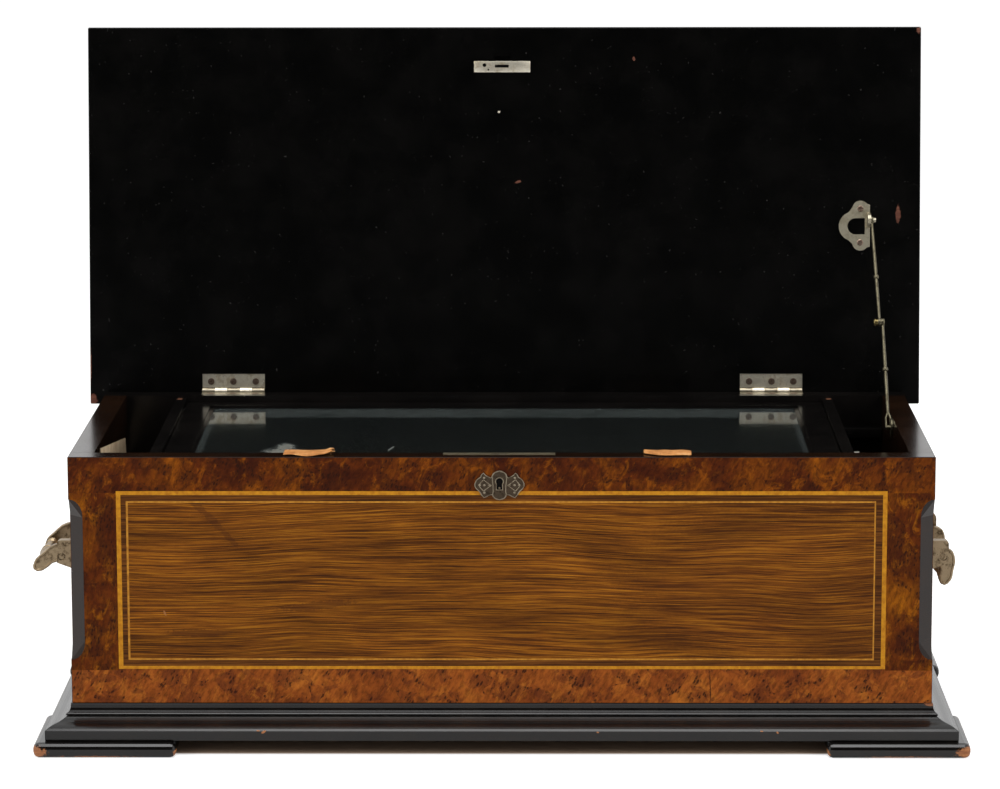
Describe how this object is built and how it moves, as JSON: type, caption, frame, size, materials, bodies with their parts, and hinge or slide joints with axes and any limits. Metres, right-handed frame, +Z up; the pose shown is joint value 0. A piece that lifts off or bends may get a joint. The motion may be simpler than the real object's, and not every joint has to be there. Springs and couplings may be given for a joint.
{
  "type": "cylinder music box",
  "caption": "Spring-wound cylinder music box in a veneered case on a moulded plinth, with hinged lid and stay, glass inner lid, lock and bail handles.",
  "frame": {"origin": "centre of the whole object's bounding box with the lid open, at the level of the feet; the case's own middle is 6.0 mm along +X and -14.7 mm along Y from it", "axes": "+X to the right seen from the front, along the length; +Y from the front to the back; +Z up"},
  "size_m": [0.674, 0.3419, 0.4883],
  "materials": {
    "veneer": "polished veneer",
    "ebonised": "black polish",
    "plain_wood": "unfinished softwood",
    "brass": "aged",
    "handle_metal": "dark patina",
    "cast_iron": "painted",
    "steel": "worn",
    "glass": "clear",
    "leather": "tan"
  },
  "bodies": {
    "case": {"back_wall": "ebonised", "barrel_bearing": "brass", "bedplate": "cast_iron", "bottom_board": "plain_wood", "box_lock": "brass", "comb": "steel", "comb_base": "cast_iron", "cylinder_bearing_left": "brass", "cylinder_bearing_right": "brass", "escutcheon": "brass", "foot_back_left": "ebonised", "foot_back_right": "ebonised", "foot_front_left": "ebonised", "foot_front_right": "ebonised", "front_wall": "veneer", "governor_frame": "brass", "handle_plate_left": "handle_metal", "handle_plate_right": "handle_metal", "hinge_case_leaf_left": "brass", "hinge_case_leaf_right": "brass", "hinge_pin_left": "steel", "hinge_pin_right": "steel", "left_end": "veneer", "left_partition": "ebonised", "plinth_back": "ebonised", "plinth_front": "ebonised", "plinth_left": "ebonised", "plinth_right": "ebonised", "right_end": "veneer", "right_partition": "ebonised", "stay_case_bracket": "brass", "winding_arbor": "steel"},
    "lid": {"lid_panel": "ebonised", "lid_moulding_front": "ebonised", "lid_moulding_back": "ebonised", "lid_moulding_left": "ebonised", "lid_moulding_right": "ebonised", "lid_catch_plate": "brass", "hinge_lid_leaf_left": "brass", "hinge_lid_leaf_right": "brass", "stay_lid_bracket": "brass"},
    "stay_lower": {"stay_lower_link": "steel"},
    "stay_upper": {"stay_upper_link": "steel"},
    "glass_lid": {"glass_frame": "ebonised", "glass_pane": "glass", "pull_tab_left": "leather", "pull_tab_right": "leather"},
    "left_handle": {"left_bail": "handle_metal"},
    "right_handle": {"right_bail": "handle_metal"},
    "bolt": {"lock_bolt": "steel"},
    "cylinder_body": {"cylinder": "brass", "cylinder_arbor": "steel"},
    "barrel": {"spring_barrel": "brass", "mainspring": "steel"},
    "governor": {"governor_wheel": "brass"},
    "screw": {"endless_screw": "steel"},
    "winder": {"winding_lever": "steel"},
    "click_body": {"click": "steel"},
    "start": {"start_lever": "steel"},
    "change": {"change_lever": "steel"}
  },
  "joints": [
    {"name": "lid_hinge", "type": "hinge", "parent": "case", "child": "lid", "pos_m": [0.00604, 0.12031, 0.212], "axis": [1, 0, 0], "range_deg": [0, 96.5]},
    {"name": "stay_lower_pivot", "type": "hinge", "parent": "case", "child": "stay_lower", "pos_m": [0.29094, 0.00731, 0.2045], "axis": [1, 0, 0], "range_deg": [0, 220.69]},
    {"name": "stay_knee", "type": "hinge", "parent": "stay_lower", "child": "stay_upper", "pos_m": [0.28824, 0.06675, 0.27384], "axis": [1, 0, 0], "range_deg": [-169.65, 0]},
    {"name": "glass_lid_pivot", "type": "hinge", "parent": "case", "child": "glass_lid", "pos_m": [0.00604, 0.09221, 0.2022], "axis": [1, 0, 0], "range_deg": [-85, 0]},
    {"name": "left_bail_pivot", "type": "hinge", "parent": "case", "child": "left_handle", "pos_m": [-0.31416, -0.01469, 0.1225], "axis": [0, 1, 0], "range_deg": [-78, 134]},
    {"name": "right_bail_pivot", "type": "hinge", "parent": "case", "child": "right_handle", "pos_m": [0.32624, -0.01469, 0.1225], "axis": [0, -1, 0], "range_deg": [-20, 192]},
    {"name": "bolt_slide", "type": "slide", "parent": "case", "child": "bolt", "axis": [0, 0, 1], "range_m": [0, 0.0055]},
    {"name": "cylinder_spin", "type": "hinge", "parent": "case", "child": "cylinder_body", "pos_m": [0.00604, -0.00969, 0.11], "axis": [1, 0, 0], "continuous": true},
    {"name": "barrel_spin", "type": "hinge", "parent": "case", "child": "barrel", "pos_m": [-0.19396, 0.03031, 0.11], "axis": [1, 0, 0], "continuous": true},
    {"name": "governor_spin", "type": "hinge", "parent": "case", "child": "governor", "pos_m": [0.19204, 0.01911, 0.11], "axis": [1, 0, 0], "continuous": true},
    {"name": "screw_spin", "type": "hinge", "parent": "case", "child": "screw", "pos_m": [0.19254, 0.03611, 0.11], "axis": [0, 0, 1], "continuous": true},
    {"name": "winding_pivot", "type": "hinge", "parent": "case", "child": "winder", "pos_m": [-0.26696, 0.03031, 0.11], "axis": [1, 0, 0], "range_deg": [-60, 0]},
    {"name": "click_pivot", "type": "hinge", "parent": "case", "child": "click_body", "pos_m": [-0.25196, 0.06031, 0.123], "axis": [1, 0, 0], "range_deg": [-12, 0]},
    {"name": "start_pivot", "type": "hinge", "parent": "case", "child": "start", "pos_m": [0.26204, -0.09669, 0.15], "axis": [1, 0, 0], "range_deg": [0, 25]},
    {"name": "change_pivot", "type": "hinge", "parent": "case", "child": "change", "pos_m": [0.26204, -0.06469, 0.15], "axis": [1, 0, 0], "range_deg": [0, 25]}
  ],
  "couplings": [
    {"joint": "stay_lower_pivot", "follows": "lid_hinge", "ratio": 2.2766},
    {"joint": "stay_knee", "follows": "lid_hinge", "ratio": -1.7477},
    {"joint": "barrel_spin", "follows": "cylinder_spin", "ratio": -0.33333},
    {"joint": "governor_spin", "follows": "cylinder_spin", "ratio": -5},
    {"joint": "screw_spin", "follows": "cylinder_spin", "ratio": 180}
  ]
}
